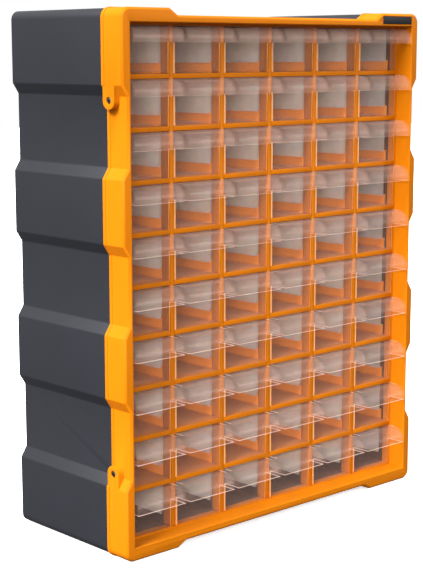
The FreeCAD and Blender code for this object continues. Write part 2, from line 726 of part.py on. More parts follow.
profile = new_sketch(drawer, "inside_outline", "XY_Plane", DRAWER_HEIGHT)
inside = f"({DRAWER_HALF} - sizes.drawer_wall)"
inside_back = "(sizes.drawer_depth - sizes.drawer_wall)"
add_box(profile, f"0 - {inside}", inside, "sizes.drawer_face", inside_back)
pocket(drawer, "inside", profile, f"{DRAWER_HEIGHT} - sizes.drawer_wall")

# A tab on the back wall that meets the bar above when the drawer is pulled right out.
profile = front_sketch(drawer, "stop_outline", inside_back)
stop_top = "sizes.cell_height + sizes.stop_catch - sizes.slide_gap"
stop_low = f"{DRAWER_HEIGHT} - sizes.stop_catch"
add_box(profile, "0 - sizes.stop_width / 2", "sizes.stop_width / 2", stop_low, stop_top)
pad(drawer, "stop_tab", profile, "sizes.drawer_wall", reverse=True)


# Placing the pieces. A link is one more piece made to the same drawing.

for body in (housing, front_frame, badge_plate):
    body.setExpression("Placement.Base.y", FRONT_Y)


def place(master, name, x="0", y=FRONT_Y, z="0"):
    link = doc.addObject("App::Link", name)
    link.setLink(master)
    link.Label = name
    link.setExpression("Placement.Base.x", x)
    link.setExpression("Placement.Base.y", y)
    link.setExpression("Placement.Base.z", z)
    return link


def group(name, members):
    compound = doc.addObject("Part::Compound", name)
    compound.Label = name
    compound.Links = members
    return compound


grid = []
for row in range(1, ROWS):
    grid.append(place(shelf, f"shelf_under_row_{row}", z=shelf_level(row)))
for number in range(1, COLUMNS):
    grid.append(place(upright, f"upright_{number}", x=upright_middle(number)))
shelf_grid = group("shelf_grid", grid)

head_x = f"({HALF_WIDTH} - sizes.rim_proud - sizes.screw_sink_depth)"
screws = []
for name, level in zip(("lower", "upper"), TAB_LEVELS):
    at_tab = f"{FRONT_Y} + sizes.tab_set"
    screws.append(place(screw, f"right_{name}_screw", x=head_x, y=at_tab, z=level))
    left = place(screw, f"left_{name}_screw", x=f"0 - {head_x}", y=at_tab, z=level)
    left.Placement.Rotation = FreeCAD.Rotation(FreeCAD.Vector(0, 0, 1), 180)
    screws.append(left)
frame_screws = group("frame_screws", screws)

GRID_Y = f"{FRONT_Y} + sizes.grid_recess"
single_drawers = []
bottom_row = []
for row in range(1, ROWS + 1):
    floor = f"{shelf_level(row)} + {BAR_HALF} + sizes.slide_gap"
    for column in range(1, COLUMNS + 1):
        x = column_middle(column)
        link = place(drawer, f"drawer_r{row}_c{column}", x=x, y=GRID_Y, z=floor)
        if row < ROWS:
            single_drawers.append(link)
        else:
            bottom_row.append(link)
bottom_drawers = group("bottom_drawers", bottom_row)
doc.recompute()

# Checking every object, then writing one file for each sub-part.

failed = []
for item in doc.Objects:
    if "Invalid" in item.State or "Error" in item.State:
        failed.append(f"{item.Label}: {item.State}")

sub_parts = [housing, front_frame, shelf_grid, frame_screws, badge_plate]
sub_parts += single_drawers + [bottom_drawers]
shapes = {}
for item in sub_parts:
    shape = Part.getShape(item)
    if shape.isNull() or not shape.isValid():
        failed.append(f"{item.Label}: its shape is null or not valid")
    shapes[item.Label] = shape
if failed:
    raise RuntimeError("; ".join(failed))

os.makedirs("parts", exist_ok=True)
for label, shape in shapes.items():
    shape.exportStep(os.path.join("parts", f"{label}.step"))
print(len(shapes), "sub-parts,", sum(len(shape.Solids) for shape in shapes.values()), "solids")
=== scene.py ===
import math

import bmesh
import bpy
from mathutils import Matrix, Vector


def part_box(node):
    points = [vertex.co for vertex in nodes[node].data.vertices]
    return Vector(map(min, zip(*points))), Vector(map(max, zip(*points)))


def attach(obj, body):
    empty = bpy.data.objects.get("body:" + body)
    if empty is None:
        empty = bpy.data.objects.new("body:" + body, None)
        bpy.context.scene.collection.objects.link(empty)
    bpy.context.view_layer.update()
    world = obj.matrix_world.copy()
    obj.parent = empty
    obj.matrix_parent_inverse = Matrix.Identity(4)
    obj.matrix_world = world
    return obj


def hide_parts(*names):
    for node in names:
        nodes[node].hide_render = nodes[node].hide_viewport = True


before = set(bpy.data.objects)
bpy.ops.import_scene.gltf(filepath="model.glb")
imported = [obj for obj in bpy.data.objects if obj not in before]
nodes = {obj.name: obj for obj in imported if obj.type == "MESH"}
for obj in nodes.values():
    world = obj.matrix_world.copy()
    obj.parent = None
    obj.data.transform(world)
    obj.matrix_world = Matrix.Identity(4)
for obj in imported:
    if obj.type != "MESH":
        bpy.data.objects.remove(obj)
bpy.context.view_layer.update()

# %% [markdown]
# # A parts bin cabinet
#
# The object is a workshop cabinet for screws and other small parts: a charcoal
# housing, an orange front frame with an egg-crate grid, and clear drawers with
# hooded pulls. The CAD model gives the shapes and the sizes, so this script only
# adds what makes plastic look like plastic: rounded edges, moulded surfaces,
# light and a camera.

# %% Units, axes and the parts of the CAD model
MM = 0.001
X, Y, Z = range(3)

drawer_nodes = [name for name in nodes if name.startswith("drawer_")]
print(len(nodes), "CAD nodes, of which", len(drawer_nodes), "are drawers of their own")


# %% [markdown]
# ## Colours
#
# Colours are picked as sRGB hex values, the way a paint chart or an image
# editor shows them. Blender's shaders work in linear light, so one function
# turns the one into the other.

# %% From hex to linear
def srgb(hex_colour):
    """A linear RGBA tuple from an sRGB hex string such as "#e67e0a"."""
    channels = []
    for start in (1, 3, 5):
        value = int(hex_colour[start:start + 2], 16) / 255
        low, high = value / 12.92, ((value + 0.055) / 1.055) ** 2.4
        channels.append(low if value <= 0.04045 else high)
    return (*channels, 1.0)


print("mid grey in linear light:", round(srgb("#808080")[0], 3))


# %% [markdown]
# ## Building a material
#
# A node tree is easier to read when each node takes one call: what kind it is,
# its settings, and what each of its inputs gets. An input gets either a plain
# value or another node's output, which makes a link.

# %% One function that adds a node
def add_node(tree, kind, settings=None, inputs=None):
    """A new node with its settings and inputs; an input that is a socket is linked."""
    node = tree.nodes.new(kind)
    for name, value in (settings or {}).items():
        setattr(node, name, value)
    for name, value in (inputs or {}).items():
        if isinstance(value, bpy.types.NodeSocket):
            tree.links.new(value, node.inputs[name])
        else:
            node.inputs[name].default_value = value
    return node


def new_material(name):
    """An empty material and its node tree."""
    material = bpy.data.materials.new(name)
    material.use_nodes = True
    material.node_tree.nodes.clear()
    print("material:", name)
    return material, material.node_tree


# %% [markdown]
# ## Moulded polypropylene
#
# The frame and the housing are injection-moulded polypropylene. The steel
# mould is spark-eroded, which leaves a fine grain on the part, and the melt
# cools unevenly, which leaves faint cloudy patches in the colour. Both are
# noise: one fine, used as bump and roughness, and one broad, used to mix two
# near colours. The real grain is about 0.3 mm, finer than a pixel of this
# picture, so it is drawn at about 1 mm.

# %% Opaque moulded plastic
POLYPROPYLENE_IOR = 1.49
CLOUD_WIDTH = 45 * MM
GRAIN_STRENGTH = 0.35
# The grain's hollows are smoother than the plastic on average, and its tops rougher.
SMOOTHER, ROUGHER = 0.06, 0.08


def moulded_plastic(name, colour, darker, roughness, gloss_level, grain, grain_height):
    """Polypropylene with a spark-eroded grain and faint clouds in its colour."""
    material, tree = new_material(name)
    place = add_node(tree, "ShaderNodeTexCoord").outputs["Object"]
    clouds = add_node(
        tree, "ShaderNodeTexNoise",
        inputs={"Vector": place, "Scale": 1 / CLOUD_WIDTH, "Detail": 3.0, "Roughness": 0.6},
    ).outputs["Fac"]
    grains = add_node(
        tree, "ShaderNodeTexNoise",
        inputs={"Vector": place, "Scale": 1 / grain, "Detail": 2.0, "Roughness": 0.7},
    ).outputs["Fac"]
    tint = add_node(
        tree, "ShaderNodeMix", {"data_type": "RGBA"},
        {"Factor": clouds, "A": srgb(darker), "B": srgb(colour)},
    ).outputs["Result"]
    gloss = add_node(
        tree, "ShaderNodeMapRange",
        inputs={"Value": grains, "To Min": roughness - SMOOTHER, "To Max": roughness + ROUGHER},
    ).outputs["Result"]
    bump = add_node(
        tree, "ShaderNodeBump",
        inputs={"Height": grains, "Strength": GRAIN_STRENGTH, "Distance": grain_height},
    ).outputs["Normal"]
    shader = add_node(
        tree, "ShaderNodeBsdfPrincipled",
        inputs={
            "Base Color": tint, "Roughness": gloss, "Normal": bump,
            "IOR": POLYPROPYLENE_IOR, "Specular IOR Level": gloss_level,
        },
    )
    add_node(tree, "ShaderNodeOutputMaterial", inputs={"Surface": shader.outputs["BSDF"]})
    return material


# %% The frame, its shelves and the housing
# The frame's moulding is satin: it takes soft, wide highlights.
orange_polypropylene = moulded_plastic(
    "orange_moulded_polypropylene", "#bd6a09", "#b36307",
    roughness=0.42, gloss_level=0.05, grain=1.0 * MM, grain_height=0.05 * MM,
)
# The shelves behind the grid are thin, and light comes through them. That light is painted in: their
# orange is paler.
shelf_orange_painted_light = moulded_plastic(
    "thin_shelf_orange_painted_through_light", "#f08c1e", "#e8851a",
    roughness=0.45, gloss_level=0.1, grain=1.0 * MM, grain_height=0.05 * MM,
)
# The housing's grain is coarser, which spreads the light and hides scratches.
charcoal_polypropylene = moulded_plastic(
    "charcoal_grained_polypropylene", "#212227", "#1d1e22",
    roughness=0.5, gloss_level=0.26, grain=1.2 * MM, grain_height=0.12 * MM,
)


# %% [markdown]
# ## Clear and frosted polypropylene
#
# The drawers are clarified polypropylene. The mould is polished where the
# front wall, the hood and the floor are made, so these are clear. It is left
# frosted for the other walls, which look milky, the back wall most of all. A
# clear surface shows two things: what is behind it, and a faint mirror image of
# what is before it, which grows at a slant by Schlick's rule. So each surface
# is mostly see-through, and what isn't is part mirror and part pale veil. The
# walls are modelled with both faces, and the veils add up where walls stand
# behind one another. Milky plastic also passes light on, so the frosted walls
# scatter light under their surface and glow where their other side is lit.
# Where a wall is seen on its edge the light has travelled inside it. The rims
# get a paler plastic that paints this light in as a highlight.

# %% Clarified plastic
HEAD_ON, AT_GRAZING = 0.03, 0.36
SCHLICK_POWER = 5.0
FLOW_WIDTH = 9 * MM
VEIL_SPREAD = 0.15
RIPPLE_STRENGTH, RIPPLE_HEIGHT = 0.2, 0.1 * MM
# How far light goes inside a milky wall; red goes farthest.
GLOW_DEPTH, GLOW_SHARES = 4 * MM, (1.0, 0.75, 0.6)


def clarified_plastic(name, colour, veil, mirror, roughness, glow=0.0):
    """Plastic that veils what is behind it and mirrors more the more it is seen at a slant."""
    material, tree = new_material(name)
    place = add_node(tree, "ShaderNodeTexCoord").outputs["Object"]
    flow = add_node(
        tree, "ShaderNodeTexNoise",
        inputs={"Vector": place, "Scale": 1 / FLOW_WIDTH, "Detail": 2.0, "Roughness": 0.5},
    ).outputs["Fac"]
    thinnest, thickest = veil * (1 - VEIL_SPREAD), veil * (1 + VEIL_SPREAD)
    milkiness = add_node(
        tree, "ShaderNodeMapRange",
        inputs={"Value": flow, "To Min": thinnest, "To Max": thickest},
    ).outputs["Result"]
    slant = add_node(tree, "ShaderNodeLayerWeight", inputs={"Blend": 0.5}).outputs["Facing"]
    steep = add_node(
        tree, "ShaderNodeMath", {"operation": "POWER"}, {0: slant, 1: SCHLICK_POWER}
    ).outputs[0]
    mirrored = add_node(
        tree, "ShaderNodeMapRange",
        inputs={"Value": steep, "To Min": HEAD_ON, "To Max": AT_GRAZING},
    ).outputs["Result"]
    opacity = add_node(
        tree, "ShaderNodeMath", {"operation": "ADD", "use_clamp": True}, {0: milkiness, 1: mirrored}
    ).outputs[0]
    ripple = add_node(
        tree, "ShaderNodeBump",
        inputs={"Height": flow, "Strength": RIPPLE_STRENGTH, "Distance": RIPPLE_HEIGHT},
    ).outputs["Normal"]
    shader = add_node(
        tree, "ShaderNodeBsdfPrincipled",
        inputs={
            "Base Color": srgb(colour), "Metallic": mirror, "Roughness": roughness,
            "IOR": POLYPROPYLENE_IOR, "Alpha": opacity, "Normal": ripple,
            "Subsurface Weight": glow, "Subsurface Radius": GLOW_SHARES,
            "Subsurface Scale": GLOW_DEPTH,
        },
    )
    add_node(tree, "ShaderNodeOutputMaterial", inputs={"Surface": shader.outputs["BSDF"]})
    return material


# %% The drawer's five plastics, two of them with painted light
# Polished and thin: hardly any veil, with a soft mirror image at a slant.
clear_plastic = clarified_plastic(
    "polished_clear_polypropylene", "#f3cdbc", veil=0.012, mirror=0.35, roughness=0.34
)
# Frosted side walls look pale, because light from the next cell comes through them.
frosted_plastic = clarified_plastic(
    "frosted_polypropylene", "#fff4ea", veil=0.42, mirror=0.04, roughness=0.4, glow=1.0
)
# The back wall has a coarser frosting, so it hides the most of what is behind it.
back_plastic = clarified_plastic(
    "coarse_frosted_polypropylene", "#fff2ea", veil=0.7, mirror=0.1, roughness=0.45, glow=1.0
)
# A wall's edge gets a paler plastic than its clear face, which is a painted highlight for the light
# inside the wall.
rims_with_painted_highlight = clarified_plastic(
    "painted_highlight_rim_polypropylene", "#f4d6c8", veil=0.4, mirror=0.1, roughness=0.3
)
# The thick front corners guide light from the orange grid beside them, and that light is painted in as
# an orange tint.
corner_painted_grid_light = clarified_plastic(
    "painted_grid_light_corner_polypropylene", "#ffb070", veil=0.7, mirror=0.1, roughness=0.25
)
drawer_plastics = (clear_plastic, frosted_plastic, back_plastic, rims_with_painted_highlight, corner_painted_grid_light)

# %% [markdown]
# ## Badge and screws
#
# The badge is a plain black plate. Its surface is satin, so its highlights are
# broad and dull. The screws that hold the frame are zinc-plated steel. The
# plating is bright but uneven, so its gloss changes a little from patch to patch.

# %% Black plate
black_plate = moulded_plastic(
    "black_satin_plate", "#1d1d20", "#18181b",
    roughness=0.5, gloss_level=0.2, grain=3.0 * MM, grain_height=0.02 * MM,
)

# %% Plated steel
PATCH_WIDTH = 0.8 * MM
PATCH_ROUGHNESS = 0.28, 0.45


def plated_steel(name, colour):
    """Steel under zinc, with a gloss that changes from patch to patch."""
    material, tree = new_material(name)
    place = add_node(tree, "ShaderNodeTexCoord").outputs["Object"]
    patches = add_node(
        tree, "ShaderNodeTexNoise",
        inputs={"Vector": place, "Scale": 1 / PATCH_WIDTH, "Detail": 3.0},
    ).outputs["Fac"]
    smoothest, roughest = PATCH_ROUGHNESS
    gloss = add_node(
        tree, "ShaderNodeMapRange",
        inputs={"Value": patches, "To Min": smoothest, "To Max": roughest},
    ).outputs["Result"]
    shader = add_node(
        tree, "ShaderNodeBsdfPrincipled",
        inputs={"Base Color": srgb(colour), "Metallic": 1.0, "Roughness": gloss},
    )
    add_node(tree, "ShaderNodeOutputMaterial", inputs={"Surface": shader.outputs["BSDF"]})
    return material


zinc_plated_steel = plated_steel("zinc_plated_steel", "#7d7a76")


# %% [markdown]
# ## Pieces and their edges
#
# Every piece is a closed mesh in an object of its own, shaded smooth up to its
# sharp edges. A moulded edge is never perfectly sharp, because the melt doesn't
# fill the last quarter of a millimetre of a mould's corner. That small round is
# what gives an edge its thin highlight, and the bevel operator makes it.

# %% From a bmesh to a finished piece
SHARP = math.radians(32)


def finish_piece(name, bm, body, slot, *materials):
    """A mesh object from a bmesh, shaded smooth up to its sharp edges, riding on a body."""
    mesh = bpy.data.meshes.new(name)
    bm.to_mesh(mesh)
    bm.free()
    for material in materials:
        mesh.materials.append(material)
    mesh.shade_smooth()
    mesh.set_sharp_from_angle(angle=SHARP)
    piece = bpy.data.objects.new(name, mesh)
    bpy.context.scene.collection.objects.link(piece)
    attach(piece, body)
    return piece


# %% Rounding edges
def edges_turning(bm, least, most):
    """The edges where the surface turns by an angle between two limits."""
    return [edge for edge in bm.edges if edge.is_manifold and least < edge.calc_face_angle(0) < most]


def round_off(bm, edges, width, segments):
    """Round some edges by a width; returns the new faces."""
    made = bmesh.ops.bevel(
        bm, geom=edges, offset=width, offset_type="OFFSET", segments=segments,
        profile=0.5, affect="EDGES", clamp_overlap=True, material=-1,
    )
    return made["faces"]


def soften(bm, width):
    """Round every sharp edge by a small width."""
    round_off(bm, edges_turning(bm, SHARP, math.pi), width, segments=2)


# %% [markdown]
# ## Housing, frame, grid and badge
#
# These four pieces have their full shape in the CAD model, so each is a copy of
# its node. The node is loose triangles: the copy is merged into a closed mesh,
# and its flat triangles are joined into whole faces, because a bevel needs real
# edges. The slants between the side's raised bands turn by about 33 degrees.
# Their edges are rounder than the rest, as the mould's are, so they are rounded
# first and by more. The operator keeps all its rounds narrow enough for the
# shortest edges that it meets. The housing and the frame have very short ones at
# their screw ears, so there the rounds of the remaining edges come out at a few
# hundredths of a millimetre or less, and only the slants look rounded. The
# shelves behind the grid's bars get a paler orange, which is painted light for
# the light that comes through the thin shelves.

# %% A softened copy of a CAD node
MERGE_WITHIN = 0.002 * MM
FLAT = math.radians(0.5)
SLANT_TURN = math.radians(25), math.radians(40)
SLANT_SEGMENTS = 4


def cubic_mm(bm):
    return round(bm.calc_volume() / MM ** 3)


def softened_copy(node, slot, edge_round, material, slant_round=None, inner=None, inner_from=None):
    """A copy of a CAD node with rounded edges, which takes the node's place in the cabinet."""
    bm = bmesh.new()
    bm.from_mesh(nodes[node].data)
    bmesh.ops.remove_doubles(bm, verts=bm.verts, dist=MERGE_WITHIN)
    bmesh.ops.dissolve_limit(bm, angle_limit=FLAT, verts=bm.verts, edges=bm.edges)
    before = cubic_mm(bm)
    if slant_round:
        round_off(bm, edges_turning(bm, *SLANT_TURN), slant_round, SLANT_SEGMENTS)
    soften(bm, edge_round)
    print(node, "has", len(bm.faces), "faces and", cubic_mm(bm), "cubic mm, before", before)
    materials = [material]
    if inner:
        materials.append(inner)
        for candidate in bm.faces:
            candidate.material_index = int(all(vert.co.y > inner_from for vert in candidate.verts))
    piece = finish_piece(f"{node}_moulding", bm, "cabinet", slot, *materials)
    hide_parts(node)


# %% The four copies
EDGE_ROUND, FINE_EDGE_ROUND = 0.3 * MM, 0.2 * MM
SLANT_ROUND = 1.6 * MM
# The bars are 12 mm deep, and the shelves' faces start just behind them.
BARS_DEPTH = 12.2 * MM

softened_copy(
    "housing", "housing_plastic", EDGE_ROUND, charcoal_polypropylene, slant_round=SLANT_ROUND
)
softened_copy(
    "front_frame", "frame_plastic", FINE_EDGE_ROUND, orange_polypropylene, slant_round=SLANT_ROUND
)
# The shelves' faces behind the bars get the paler orange, which is painted light.
softened_copy(
    "shelf_grid", "frame_plastic", EDGE_ROUND, orange_polypropylene,
    inner=shelf_orange_painted_light, inner_from=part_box("shelf_grid")[0].y + BARS_DEPTH,
)
softened_copy("badge_plate", "badge_plastic", FINE_EDGE_ROUND, black_plate)

# %% [markdown]
# ## A drawer
#
# Each drawer is one moulding: a tray with a hood along the top of its front
# wall, which a finger pulls from below. It starts as a solid block with the
# drawer's side view. Two faces of the block are then cut into smaller ones and
# pushed in: the top face, down to the floor, for the tray, and the hood's
# underside, up to its roof, for the finger.

# %% The drawer's sizes, as in the CAD model
low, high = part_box("drawer_r1_c1")
WIDTH = high.x - low.x
HALF = WIDTH / 2
STOP_HEIGHT = high.z - low.z
HOOD_REACH = 20 * MM
DEPTH = high.y - low.y - HOOD_REACH
FRONT_HEIGHT = 40.2 * MM
WALL, FRONT_WALL, FLOOR = 1.5 * MM, 2.0 * MM, 1.5 * MM
BACK_FACE = DEPTH - WALL
HOOD_WALL = 1.6 * MM
HOOD_HEIGHT = 14 * MM
HOOD_BOTTOM = FRONT_HEIGHT - HOOD_HEIGHT
HOOD_ROUND = 11 * MM
STOP_HALF = 9 * MM
print("drawer", [round(size / MM, 1) for size in (WIDTH, DEPTH, FRONT_HEIGHT)], "mm")

# %% Helpers that find faces and edges by their place
NEAR = 0.02 * MM
ON_PLANE = 1e-7


def close_to(first, second):
    """Whether two places are the same but for rounding."""
    return abs(first - second) < NEAR


def face_at(bm, axis, level, inside=None):
    """The first face that lies at a level along an axis and whose middle passes a test."""
    for candidate in bm.faces:
        if all(close_to(vert.co[axis], level) for vert in candidate.verts):
            if inside is None or inside(candidate.calc_center_median()):
                return candidate
    raise ValueError(f"no face at {level} along axis {axis}")


def edges_along_x(bm, y, z):
    """The edges that run along X at one place in the side view."""
    found = []
    for edge in bm.edges:
        if all(close_to(vert.co.y, y) and close_to(vert.co.z, z) for vert in edge.verts):
            found.append(edge)
    return found


# %% Helpers that cut a face and push it in
def cut_face(bm, target, axis, level):
    """Split one face along a plane; the faces beside it only get a new corner."""
    normal = Vector((0, 0, 0))
    normal[axis] = 1
    geom = [target, *target.edges, *target.verts]
    bmesh.ops.bisect_plane(bm, geom=geom, dist=ON_PLANE, plane_co=normal * level, plane_no=normal)


def push(bm, target, height):
    """Push a level face up or down; its walls come with it."""
    made = bmesh.ops.extrude_face_region(bm, geom=[target])
    verts = [item for item in made["geom"] if isinstance(item, bmesh.types.BMVert)]
    bmesh.ops.translate(bm, verts=verts, vec=(0, 0, height))
    bmesh.ops.delete(bm, geom=[target], context="FACES_ONLY")


# %% The block with the drawer's side view
def drawer_block():
    """A solid block as wide as the drawer, with the hood's block in front of its face."""
    bm = bmesh.new()
    side_view = [
        (DEPTH, 0), (0, 0), (0, HOOD_BOTTOM),
        (-HOOD_REACH, HOOD_BOTTOM), (-HOOD_REACH, FRONT_HEIGHT), (DEPTH, FRONT_HEIGHT),
    ]
    start = bm.faces.new([bm.verts.new((-HALF, y, z)) for y, z in side_view])
    made = bmesh.ops.extrude_face_region(bm, geom=[start])
    far = [item for item in made["geom"] if isinstance(item, bmesh.types.BMVert)]
    bmesh.ops.translate(bm, verts=far, vec=(WIDTH, 0, 0))
    bmesh.ops.recalc_face_normals(bm, faces=bm.faces)
    return bm


# %% [markdown]
# The tray's mouth is the part of the top face that is left when strips as wide
# as the walls are cut off its sides, its front and its back. The finger's space
# is found the same way on the underside of the hood. Each side wall is cut into
# a polished stretch, in front and below, and a frosted one.

# %% The tray
def between_walls(point):
    return abs(point.x) < HALF - WALL


def hollow_tray(bm):
    """Cut the tray's mouth out of the top face and push it down to the floor."""
    for side in (-HALF, HALF):
        cut_face(bm, face_at(bm, X, side), Y, FRONT_WALL)

    def behind_hood(point):
        return between_walls(point) and point.y > -HOOD_REACH / 2

    for axis, level in ((X, WALL - HALF), (X, HALF - WALL), (Y, FRONT_WALL), (Y, BACK_FACE)):
        cut_face(bm, face_at(bm, Z, FRONT_HEIGHT, behind_hood), axis, level)

    def in_mouth(point):
        return between_walls(point) and FRONT_WALL < point.y < BACK_FACE

    push(bm, face_at(bm, Z, FRONT_HEIGHT, in_mouth), FLOOR - FRONT_HEIGHT)


# %% Where the polish ends on the side walls
POLISHED_HEIGHT = 8.5 * MM
POLISHED_DEPTH = 13 * MM


def divide_sides(bm):
    """Cut each side wall's outer and inner face where the polish gives way to the frosting."""
    for side in (-HALF, WALL - HALF, HALF - WALL, HALF):
        behind_front = face_at(bm, X, side, lambda point: point.y > FRONT_WALL)
        cut_face(bm, behind_front, Y, POLISHED_DEPTH)
        frosted = face_at(bm, X, side, lambda point: point.y > POLISHED_DEPTH)
        cut_face(bm, frosted, Z, POLISHED_HEIGHT)


# %% The hood
NOSE_SEGMENTS = 9


def hollow_hood(bm):
    """Cut the finger's space out of the hood's underside and push it up to the roof."""
    nose = HOOD_WALL - HOOD_REACH
    for axis, level in ((X, HOOD_WALL - HALF), (X, HALF - HOOD_WALL), (Y, nose)):
        cut_face(bm, face_at(bm, Z, HOOD_BOTTOM, between_walls), axis, level)
    finger = face_at(bm, Z, HOOD_BOTTOM, lambda point: between_walls(point) and point.y > nose)
    push(bm, finger, HOOD_HEIGHT - HOOD_WALL)


def round_nose(bm):
    """The hood's round nose outside, and the same round inside."""
    outer = edges_along_x(bm, -HOOD_REACH, FRONT_HEIGHT)
    inner = edges_along_x(bm, HOOD_WALL - HOOD_REACH, FRONT_HEIGHT - HOOD_WALL)
    round_off(bm, inner, HOOD_ROUND - HOOD_WALL, NOSE_SEGMENTS - 1)
    round_off(bm, outer, HOOD_ROUND, NOSE_SEGMENTS)


# %% The stop tab on the back wall
def add_stop(bm):
    """A tab that rises from the back wall and catches the bar when the drawer is pulled out."""
    def at_back(point):
        return point.y > BACK_FACE

    for level in (-STOP_HALF, STOP_HALF):
        cut_face(bm, face_at(bm, Z, FRONT_HEIGHT, at_back), X, level)
    tab = face_at(bm, Z, FRONT_HEIGHT, lambda point: at_back(point) and abs(point.x) < STOP_HALF)
    push(bm, tab, STOP_HEIGHT - FRONT_HEIGHT)


# %% [markdown]
# ## Which face has which plastic
#
# The drawer's plastics are material slots: the polished front wall, hood and
# floor, the frosted side walls, the coarser back wall, and the rims. A rim is a
# narrow face that ends a wall, and its paler plastic is a painted highlight. The
# front wall's round upright corners have a plastic of their own, an orange tint
# that is painted light from the grid beside them. The other edges of these thin
# walls stay sharp, because the rims' painted highlight already stands there.

# %% Marking the faces
CLEAR, FROSTED, BACK, RIMS_PAINTED_HIGHLIGHT, CORNER_PAINTED_LIGHT = range(len(drawer_plastics))
# How far a normal leans to one axis before its face counts as facing that way.
FACING = 0.9
# A rim, or the back wall with its faces, may be this much larger than it is nominally.
AT_MOST = 1.1


def mark_plastics(bm):
    """Clear in front and below, frosted at the sides and the back, and rims with a painted highlight
    where a wall ends.
    """
    rim_levels = (FRONT_HEIGHT, HOOD_BOTTOM, STOP_HEIGHT)
    for candidate in bm.faces:
        middle, normal = candidate.calc_center_median(), candidate.normal
        level = any(close_to(middle.z, height) for height in rim_levels)
        narrow = candidate.calc_area() < DEPTH * WALL * AT_MOST
        frosted_part = middle.y > POLISHED_DEPTH and middle.z > POLISHED_HEIGHT
        if abs(normal.z) > FACING and narrow and level:
            # Rims get the paler plastic, which is a painted highlight.
            candidate.material_index = RIMS_PAINTED_HIGHLIGHT
        elif middle.y > DEPTH - WALL * AT_MOST and abs(normal.y) > FACING:
            candidate.material_index = BACK
        elif frosted_part and abs(normal.x) > FACING:
            candidate.material_index = FROSTED
        else:
            candidate.material_index = CLEAR


# %% The front wall's corners
CORNER_ROUND, CORNER_SEGMENTS = 2.5 * MM, 4


def round_corners(bm):
    """Round the upright corners of the front wall below the hood."""
    found = []
    for edge in bm.edges:
        start, end = (vert.co for vert in edge.verts)
        upright = close_to(start.x, end.x) and close_to(abs(start.x), HALF)
        if upright and close_to(start.y, 0) and close_to(end.y, 0):
            found.append(edge)
    # The rounded corners get the orange tint, which is painted light from the grid.
    for rounded in round_off(bm, found, CORNER_ROUND, CORNER_SEGMENTS):
        rounded.material_index = CORNER_PAINTED_LIGHT


# %% The finished drawer
def make_drawer():
    """One whole drawer, with the lower front edge's middle at the origin."""
    bm = drawer_block()
    hollow_tray(bm)
    divide_sides(bm)
    hollow_hood(bm)
    add_stop(bm)
    round_nose(bm)
    mark_plastics(bm)
    round_corners(bm)
    print("one drawer has", len(bm.faces), "faces and", cubic_mm(bm), "cubic mm")
    return bm


drawer_pattern = make_drawer()

# %% [markdown]
# ## All the drawers
#
# The cabinet's drawers are copies of that one, each moved to where the CAD
# model has it, with the place in its mesh. The drawers of the bottom row are
# one node in the CAD model, so their copies are joined in one piece.

# %% Putting the drawers in their cells
PITCH = 60 * MM


def add_copy(bm, pattern, move):
    """Add a moved copy of one bmesh to another."""
    copy = pattern.copy()
    bmesh.ops.transform(copy, matrix=move, verts=copy.verts)
    moved = bpy.data.meshes.new("moved")
    copy.to_mesh(moved)
    copy.free()
    bm.from_mesh(moved)
    bpy.data.meshes.remove(moved)


def drawer_places(node):
    """Where the lower front edge's middle of each drawer in a node is."""
    start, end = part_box(node)
    spread = end.x - start.x - WIDTH
    count = round(spread / PITCH) + 1
    step = spread / max(count - 1, 1)
    for number in range(count):
        yield Vector((start.x + HALF + number * step, start.y + HOOD_REACH, start.z))


for node in [*drawer_nodes, "bottom_drawers"]:
    bm = bmesh.new()
    for place in drawer_places(node):
        add_copy(bm, drawer_pattern, Matrix.Translation(place))
    tray = finish_piece(f"{node}_tray", bm, node, "drawer_plastic", *drawer_plastics)
    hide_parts(node)
drawer_pattern.free()
print("drawers made:", len(drawer_nodes) + 1, "pieces")

# %% [markdown]
# ## The frame's screws
#
# Four pan-head screws hold the frame to the housing, two in each side. A head
# has a cross recess, so it can't be turned from one outline. Instead the screw
# is a row of closed loops, each bridged to the next: the cross at the recess's
# bottom and at its top, and then circles out over the head and down the shank.

# %% The screw's sizes and loops, pointing along +Z from its tip to its head
HEAD_RADIUS, HEAD_HEIGHT = 2.8 * MM, 1.6 * MM
SHANK_RADIUS, SHANK_LENGTH = 1.5 * MM, 5.6 * MM
# The crown is flat, then falls over a shoulder to the head's upright side.
CROWN_SHARE, SHOULDER_SHARE = 0.72, 0.92
SHOULDER_DROP, SIDE_DROP = 0.25 * MM, 0.8 * MM
# The reach and half the width of the cross's arms; the recess narrows towards its bottom.
CROSS_TOP, CROSS_BOTTOM = (1.5 * MM, 0.4 * MM), (1.3 * MM, 0.3 * MM)
CROSS_DEPTH = 0.8 * MM
CIRCLE_POINTS = 24


def loop_at(bm, points, height):
    """A closed loop of edges through points at one height."""
    verts = [bm.verts.new((x, y, height)) for x, y in points]
    return [bm.edges.new((verts[i - 1], verts[i])) for i in range(len(verts))]


def circle_points(radius):
    """Points round a circle."""
    turns = [math.tau * i / CIRCLE_POINTS for i in range(CIRCLE_POINTS)]
    return [(radius * math.cos(turn), radius * math.sin(turn)) for turn in turns]


def cross_points(reach, half):
    """The twelve corners of a cross: one arm's three, turned four times."""
    points = []
    for turn in range(4):
        for x, y in ((reach, -half), (reach, half), (half, half)):
            for _ in range(turn):
                x, y = -y, x
            points.append((x, y))
    return points


